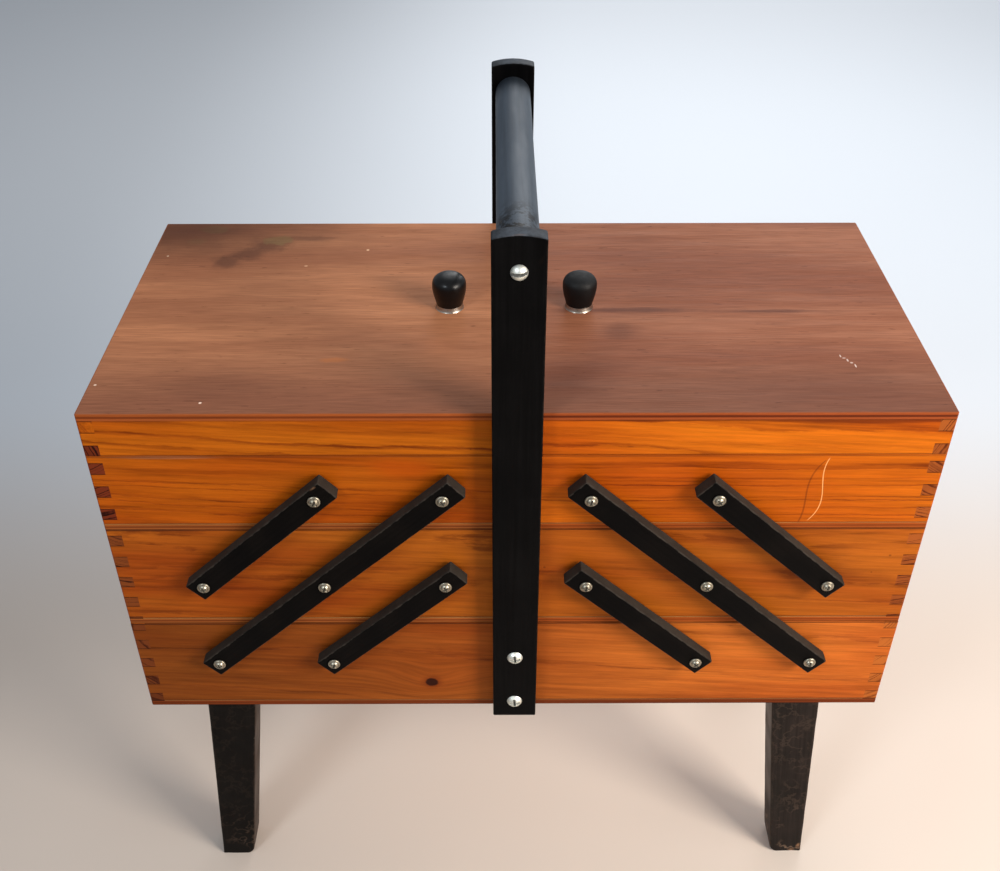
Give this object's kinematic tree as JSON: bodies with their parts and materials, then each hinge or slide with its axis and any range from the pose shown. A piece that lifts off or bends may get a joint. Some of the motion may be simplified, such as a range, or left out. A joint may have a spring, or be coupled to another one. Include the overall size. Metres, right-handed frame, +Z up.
{
  "type": "cantilever sewing box",
  "caption": "Wooden sewing carrier on splayed legs: finger-jointed half trays fold out sideways on black arms, hinged lids with knobs, fixed bar handle.",
  "frame": {"origin": "on the floor under the middle of the box, between the four feet", "axes": "+Z up, +X to the right along the length of the box, the pictured front faces -Y"},
  "size_m": [0.4386, 0.2278, 0.472],
  "materials": {
    "varnished_pine": "amber varnish, satin",
    "stained_lid": "brown stain, worn satin",
    "plywood": "raw to thinly varnished",
    "black_painted_wood": "black paint, dusty edges",
    "black_knob": "black lacquer",
    "pale_metal_collar": "dull",
    "nickel_screw": "nickel plated",
    "brass_hinge": "thin plating"
  },
  "bodies": {
    "carrier_base": {"base_front": "varnished_pine", "base_back": "varnished_pine", "base_left_end": "varnished_pine", "base_right_end": "varnished_pine", "base_floor": "plywood", "leg_front_left": "black_painted_wood", "leg_front_right": "black_painted_wood", "leg_back_left": "black_painted_wood", "leg_back_right": "black_painted_wood", "leg_screws": "nickel_screw", "handle_post_front": "black_painted_wood", "handle_post_back": "black_painted_wood", "handle_bar": "black_painted_wood", "handle_bar_screws": "nickel_screw", "post_screws": "nickel_screw", "base_pivot_screws": "nickel_screw"},
    "left_mid_tray": {"left_mid_tray_front": "varnished_pine", "left_mid_tray_back": "varnished_pine", "left_mid_tray_outer_end": "varnished_pine", "left_mid_tray_inner_end": "varnished_pine", "left_mid_tray_floor": "plywood", "left_mid_tray_pivot_screws": "nickel_screw"},
    "left_top_tray": {"left_top_tray_front": "varnished_pine", "left_top_tray_back": "varnished_pine", "left_top_tray_outer_end": "varnished_pine", "left_top_tray_inner_end": "varnished_pine", "left_top_tray_floor": "plywood", "left_top_tray_pivot_screws": "nickel_screw", "left_tray_hinges": "brass_hinge"},
    "left_lid": {"left_lid_long_rails": "varnished_pine", "left_lid_end_rails": "varnished_pine", "left_lid_panel": "stained_lid", "left_knob": "black_knob", "left_knob_fittings": "pale_metal_collar", "left_lid_hinges": "brass_hinge"},
    "left_long_arms": {"left_long_arms": "black_painted_wood"},
    "left_lower_arms": {"left_lower_arms": "black_painted_wood"},
    "left_upper_arms": {"left_upper_arms": "black_painted_wood"},
    "right_mid_tray": {"right_mid_tray_front": "varnished_pine", "right_mid_tray_back": "varnished_pine", "right_mid_tray_outer_end": "varnished_pine", "right_mid_tray_inner_end": "varnished_pine", "right_mid_tray_floor": "plywood", "right_mid_tray_pivot_screws": "nickel_screw"},
    "right_top_tray": {"right_top_tray_front": "varnished_pine", "right_top_tray_back": "varnished_pine", "right_top_tray_outer_end": "varnished_pine", "right_top_tray_inner_end": "varnished_pine", "right_top_tray_floor": "plywood", "right_top_tray_pivot_screws": "nickel_screw", "right_tray_hinges": "brass_hinge"},
    "right_lid": {"right_lid_long_rails": "varnished_pine", "right_lid_end_rails": "varnished_pine", "right_lid_panel": "stained_lid", "right_knob": "black_knob", "right_knob_fittings": "pale_metal_collar", "right_lid_hinges": "brass_hinge"},
    "right_long_arms": {"right_long_arms": "black_painted_wood"},
    "right_lower_arms": {"right_lower_arms": "black_painted_wood"},
    "right_upper_arms": {"right_upper_arms": "black_painted_wood"}
  },
  "joints": [
    {"name": "left_arms_swing", "type": "hinge", "parent": "carrier_base", "child": "left_long_arms", "pos_m": [-0.1665, 0, 0.2045], "axis": [0, -1, 0], "range_deg": [0, 94.3]},
    {"name": "left_lower_arms_swing", "type": "hinge", "parent": "carrier_base", "child": "left_lower_arms", "pos_m": [-0.102, 0, 0.2045], "axis": [0, -1, 0], "range_deg": [0, 94.3]},
    {"name": "left_mid_tray_level", "type": "hinge", "parent": "left_long_arms", "child": "left_mid_tray", "pos_m": [-0.102, 0, 0.2643], "axis": [0, -1, 0], "range_deg": [-94.3, 0]},
    {"name": "left_top_tray_level", "type": "hinge", "parent": "left_long_arms", "child": "left_top_tray", "pos_m": [-0.0375, 0, 0.3241], "axis": [0, -1, 0], "range_deg": [-94.3, 0]},
    {"name": "left_upper_arms_swing", "type": "hinge", "parent": "left_mid_tray", "child": "left_upper_arms", "pos_m": [-0.1665, 0, 0.2643], "axis": [0, -1, 0], "range_deg": [0, 94.3]},
    {"name": "left_lid_swing", "type": "hinge", "parent": "left_top_tray", "child": "left_lid", "pos_m": [-0.2173, 0, 0.34575], "axis": [0, -1, 0], "range_deg": [0, 180]},
    {"name": "right_arms_swing", "type": "hinge", "parent": "carrier_base", "child": "right_long_arms", "pos_m": [0.1665, 0, 0.2045], "axis": [0, 1, 0], "range_deg": [0, 94.3]},
    {"name": "right_lower_arms_swing", "type": "hinge", "parent": "carrier_base", "child": "right_lower_arms", "pos_m": [0.102, 0, 0.2045], "axis": [0, 1, 0], "range_deg": [0, 94.3]},
    {"name": "right_mid_tray_level", "type": "hinge", "parent": "right_long_arms", "child": "right_mid_tray", "pos_m": [0.102, 0, 0.2643], "axis": [0, 1, 0], "range_deg": [-94.3, 0]},
    {"name": "right_top_tray_level", "type": "hinge", "parent": "right_long_arms", "child": "right_top_tray", "pos_m": [0.0375, 0, 0.3241], "axis": [0, 1, 0], "range_deg": [-94.3, 0]},
    {"name": "right_upper_arms_swing", "type": "hinge", "parent": "right_mid_tray", "child": "right_upper_arms", "pos_m": [0.1665, 0, 0.2643], "axis": [0, 1, 0], "range_deg": [0, 94.3]},
    {"name": "right_lid_swing", "type": "hinge", "parent": "right_top_tray", "child": "right_lid", "pos_m": [0.2173, 0, 0.34575], "axis": [0, 1, 0], "range_deg": [0, 180]}
  ],
  "couplings": [
    {"joint": "left_mid_tray_level", "follows": "left_arms_swing", "ratio": -1},
    {"joint": "left_top_tray_level", "follows": "left_arms_swing", "ratio": -1},
    {"joint": "left_lower_arms_swing", "follows": "left_arms_swing", "ratio": 1},
    {"joint": "left_upper_arms_swing", "follows": "left_arms_swing", "ratio": 1},
    {"joint": "right_mid_tray_level", "follows": "right_arms_swing", "ratio": -1},
    {"joint": "right_top_tray_level", "follows": "right_arms_swing", "ratio": -1},
    {"joint": "right_lower_arms_swing", "follows": "right_arms_swing", "ratio": 1},
    {"joint": "right_upper_arms_swing", "follows": "right_arms_swing", "ratio": 1}
  ]
}
